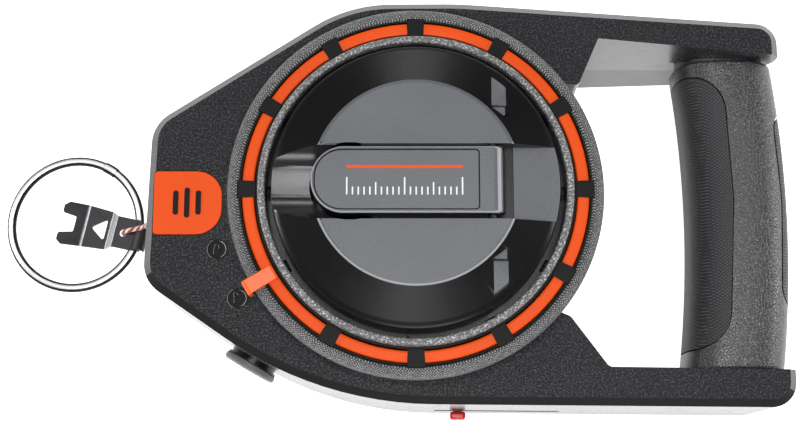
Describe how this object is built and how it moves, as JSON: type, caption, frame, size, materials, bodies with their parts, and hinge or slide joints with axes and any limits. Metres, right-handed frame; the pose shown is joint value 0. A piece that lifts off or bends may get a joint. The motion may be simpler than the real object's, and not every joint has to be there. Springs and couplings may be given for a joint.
{
  "type": "chalk line reel",
  "caption": "Geared marking line reel with a D-handle, folding crank in a dished disc, orange lock ring, chalk filler cap, line hook and pull ring.",
  "frame": {"origin": "on the reel axis, at the flat back face that the reel lies on", "axes": "+X from the line outlet towards the grip, +Y across the reel, +Z along the reel axis from the back face to the crank"},
  "size_m": [0.3393, 0.1717, 0.0869],
  "materials": {
    "shell_plastic": "leather-grained moulding, satin",
    "grip_plastic": "leather-grained moulding, satin",
    "grip_rubber": "fine diamond knurl, matte",
    "bumper_rubber": "fine woven texture, matte",
    "black_plastic": "smooth, satin",
    "grey_plastic": "fine spark texture, satin",
    "orange_plastic": "smooth, half gloss",
    "red_plastic": "glossy",
    "cap_rubber": "smooth, matte",
    "chalk_line": "red and white braid",
    "felt": "pressed felt",
    "steel": "turned",
    "blackened_steel": "black oxide, bright on the bends",
    "ring_chrome": "polished",
    "brass": "moulded and cut"
  },
  "bodies": {
    "housing": {"front_shell": "shell_plastic", "rear_shell": "shell_plastic", "grip_core": "steel", "grip_sleeve": "grip_plastic", "grip_pad_inner": "grip_rubber", "grip_pad_outer": "grip_rubber", "nose_plate": "orange_plastic", "bumper_ring": "bumper_rubber", "bezel_ring": "black_plastic", "rim_trim": "bumper_rubber", "ring_gear": "grey_plastic", "bulkhead": "black_plastic", "axle": "steel", "axle_clip": "steel", "line_run": "chalk_line", "line_outlet": "steel", "felt_wipers": "felt", "filler_neck": "black_plastic", "shell_screws": "steel"},
    "lock_ring": {"lock_ring": "orange_plastic"},
    "lock_pawl": {"lock_pawl": "steel"},
    "crank": {"crank_disc": "black_plastic", "hinge_pin": "steel", "planet_carrier": "steel", "carrier_screws": "steel", "planet_pins": "steel"},
    "arm": {"crank_arm": "grey_plastic", "arm_badge": "grey_plastic", "knob_pin": "steel"},
    "knob": {"crank_knob": "black_plastic"},
    "planet_1": {"planet_gear_1": "brass"},
    "planet_2": {"planet_gear_2": "brass"},
    "planet_3": {"planet_gear_3": "brass"},
    "spool": {"spool": "black_plastic", "sun_gear": "brass", "wound_line": "chalk_line"},
    "cap": {"filler_cap": "cap_rubber"},
    "gate": {"chalk_gate": "black_plastic", "slider_knob": "red_plastic"},
    "line_end": {"line_lead": "chalk_line", "line_hook": "blackened_steel"},
    "ring": {"pull_ring": "ring_chrome", "ring_ferrule": "ring_chrome"}
  },
  "joints": [
    {"name": "crank_spin", "type": "hinge", "parent": "housing", "child": "crank", "pos_m": [0, 0, 0.06], "axis": [0, 0, 1], "continuous": true},
    {"name": "spool_spin", "type": "hinge", "parent": "housing", "child": "spool", "pos_m": [0, 0, 0.02], "axis": [0, 0, 1], "continuous": true},
    {"name": "planet_1_spin", "type": "hinge", "parent": "crank", "child": "planet_1", "pos_m": [0.0225, 0, 0.041], "axis": [0, 0, 1], "continuous": true},
    {"name": "planet_2_spin", "type": "hinge", "parent": "crank", "child": "planet_2", "pos_m": [-0.01125, 0.01949, 0.041], "axis": [0, 0, 1], "continuous": true},
    {"name": "planet_3_spin", "type": "hinge", "parent": "crank", "child": "planet_3", "pos_m": [-0.01125, -0.01949, 0.041], "axis": [0, 0, 1], "continuous": true},
    {"name": "crank_fold", "type": "hinge", "parent": "crank", "child": "arm", "pos_m": [0.03, 0, 0.082], "axis": [0, 1, 0], "range_deg": [0, 180]},
    {"name": "knob_spin", "type": "hinge", "parent": "arm", "child": "knob", "pos_m": [-0.025, 0, 0.065], "axis": [0, 0, -1], "continuous": true},
    {"name": "lock_turn", "type": "hinge", "parent": "housing", "child": "lock_ring", "pos_m": [0, 0, 0.065], "axis": [0, 0, -1], "range_deg": [0, 14.3]},
    {"name": "pawl_slide", "type": "slide", "parent": "housing", "child": "lock_pawl", "axis": [1, 0, 0], "range_m": [0, 0.002]},
    {"name": "filler_cap_pull", "type": "slide", "parent": "housing", "child": "cap", "axis": [-0.5, -0.866, 0], "range_m": [0, 0.02]},
    {"name": "gate_slide", "type": "slide", "parent": "housing", "child": "gate", "axis": [1, 0, 0], "range_m": [0, 0.036]},
    {"name": "line_swing", "type": "hinge", "parent": "housing", "child": "line_end", "pos_m": [-0.1108, -0.004, 0.02], "axis": [0, 0, 1], "range_deg": [-25, 25]},
    {"name": "ring_swing", "type": "hinge", "parent": "line_end", "child": "ring", "pos_m": [-0.12308, -0.0073, 0.0044], "axis": [0.2079, 0.9781, 0], "range_deg": [0, 90]}
  ],
  "couplings": [
    {"joint": "spool_spin", "follows": "crank_spin", "ratio": 6},
    {"joint": "planet_1_spin", "follows": "crank_spin", "ratio": -2.5},
    {"joint": "planet_2_spin", "follows": "crank_spin", "ratio": -2.5},
    {"joint": "planet_3_spin", "follows": "crank_spin", "ratio": -2.5},
    {"joint": "pawl_slide", "follows": "lock_turn", "m_per_rad": 0.008}
  ]
}
